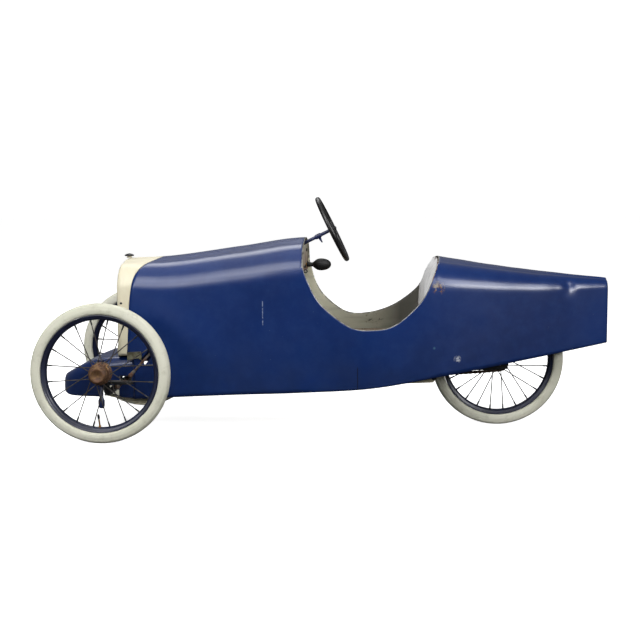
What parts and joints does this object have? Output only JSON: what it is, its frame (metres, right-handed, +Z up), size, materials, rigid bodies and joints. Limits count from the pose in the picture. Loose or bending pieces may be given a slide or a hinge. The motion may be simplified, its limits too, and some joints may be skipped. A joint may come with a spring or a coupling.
{
  "type": "pedal car",
  "caption": "Child's cyclecar-style pedal car: boat-tailed sheet body, steered wire wheels in front, a chain-driven rear wheel, pedal crank, steering wheel and seat.",
  "frame": {"origin": "on the ground, below the middle of the overall length and on the centre line", "axes": "+Z up, the nose points to -X, the driver's left is -Y"},
  "size_m": [1.509, 0.649, 0.6261],
  "materials": {
    "body_paint": "aged satin blue enamel, scuffed and chipped",
    "cream_paint": "aged cream enamel",
    "tyre": "matt aged cream rubber",
    "wheel_paint": "dark blue gloss enamel",
    "worn_steel": "dull worn steel",
    "bronze": "brown oxidised cast metal",
    "brass": "tarnished brass",
    "black_paint": "old black enamel",
    "steering_black": "black lacquer, slightly worn",
    "black_rubber": "matt black rubber",
    "bare_sheet": "bare worn sheet, streaked",
    "wood": "varnished softwood",
    "grille": "dark wire mesh"
  },
  "bodies": {
    "chassis": {"body_shell": "body_paint", "radiator_shell": "cream_paint", "radiator_grille": "grille", "radiator_cap": "black_paint", "nose_cowl": "body_paint", "dashboard": "cream_paint", "horn_bulb": "black_rubber", "horn_trumpet": "brass", "seat_back": "bare_sheet", "seat_board": "wood", "seat_support_front": "cream_paint", "seat_support_rear": "cream_paint", "chassis_rail_left": "cream_paint", "chassis_rail_right": "cream_paint", "cross_member_front": "cream_paint", "cross_member_rear": "cream_paint", "body_bracket_left": "worn_steel", "body_bracket_right": "worn_steel", "front_axle": "black_paint", "king_pin_left": "body_paint", "king_pin_right": "body_paint", "leaf_spring_left": "cream_paint", "leaf_spring_right": "cream_paint", "column_bracket": "black_paint", "rear_stay_left": "black_paint", "rear_stay_right": "black_paint", "rear_axle": "worn_steel", "pedal_frame": "black_paint", "chain": "worn_steel"},
    "stub_left": {"stub_axle_left": "black_paint"},
    "stub_right": {"stub_axle_right": "black_paint"},
    "steering": {"steering_column": "body_paint", "steering_wheel": "steering_black", "drop_arm": "worn_steel"},
    "drag_link": {"drag_link": "worn_steel"},
    "track_rod": {"track_rod": "worn_steel"},
    "wheel_front_left": {"front_left_tyre": "tyre", "front_left_rim": "wheel_paint", "front_left_spokes": "worn_steel", "front_left_valve": "brass", "front_left_hub": "bronze", "front_left_hub_cap": "bronze"},
    "wheel_front_right": {"front_right_tyre": "tyre", "front_right_rim": "wheel_paint", "front_right_spokes": "worn_steel", "front_right_valve": "brass", "front_right_hub": "bronze", "front_right_hub_cap": "bronze"},
    "wheel_rear": {"rear_tyre": "tyre", "rear_rim": "wheel_paint", "rear_spokes": "worn_steel", "rear_valve": "brass", "rear_hub": "worn_steel", "rear_sprocket": "worn_steel"},
    "cranks": {"crank_axle": "worn_steel", "chainring": "worn_steel", "crank_left": "worn_steel", "crank_right": "worn_steel"},
    "pedal_left": {"pedal_left": "black_rubber"},
    "pedal_right": {"pedal_right": "black_rubber"}
  },
  "joints": [
    {"name": "steer_left", "type": "hinge", "parent": "chassis", "child": "stub_left", "pos_m": [-0.5825, -0.243, 0.18], "axis": [0, 0, 1], "range_deg": [-20, 20]},
    {"name": "steer_right", "type": "hinge", "parent": "chassis", "child": "stub_right", "pos_m": [-0.5825, 0.243, 0.18], "axis": [0, 0, 1], "range_deg": [-20, 20]},
    {"name": "steering_turn", "type": "hinge", "parent": "chassis", "child": "steering", "pos_m": [0.009, 0, 0.538], "axis": [0.8988, 0, 0.4384], "range_deg": [-40, 40]},
    {"name": "drag_link_slide", "type": "slide", "parent": "chassis", "child": "drag_link", "axis": [0, 1, 0], "range_m": [-0.0265, 0.0265]},
    {"name": "track_rod_slide", "type": "slide", "parent": "chassis", "child": "track_rod", "axis": [0, 1, 0], "range_m": [-0.0147, 0.0147]},
    {"name": "front_left_spin", "type": "hinge", "parent": "stub_left", "child": "wheel_front_left", "pos_m": [-0.5745, -0.2835, 0.18], "axis": [0, 1, 0], "continuous": true},
    {"name": "front_right_spin", "type": "hinge", "parent": "stub_right", "child": "wheel_front_right", "pos_m": [-0.5745, 0.2835, 0.18], "axis": [0, 1, 0], "continuous": true},
    {"name": "rear_spin", "type": "hinge", "parent": "chassis", "child": "wheel_rear", "pos_m": [0.4605, 0, 0.18], "axis": [0, 1, 0], "continuous": true},
    {"name": "crank_turn", "type": "hinge", "parent": "chassis", "child": "cranks", "pos_m": [-0.3, 0, 0.188], "axis": [0, 1, 0], "continuous": true},
    {"name": "pedal_left_spin", "type": "hinge", "parent": "cranks", "child": "pedal_left", "pos_m": [-0.364, -0.091, 0.188], "axis": [0, 1, 0], "continuous": true},
    {"name": "pedal_right_spin", "type": "hinge", "parent": "cranks", "child": "pedal_right", "pos_m": [-0.236, 0.091, 0.188], "axis": [0, 1, 0], "continuous": true}
  ],
  "couplings": [
    {"joint": "steer_right", "follows": "steer_left", "ratio": 1},
    {"joint": "steering_turn", "follows": "steer_left", "ratio": 2},
    {"joint": "drag_link_slide", "follows": "steer_left", "m_per_rad": 0.07545},
    {"joint": "track_rod_slide", "follows": "steer_left", "m_per_rad": 0.04164},
    {"joint": "crank_turn", "follows": "rear_spin", "ratio": 0.6}
  ]
}
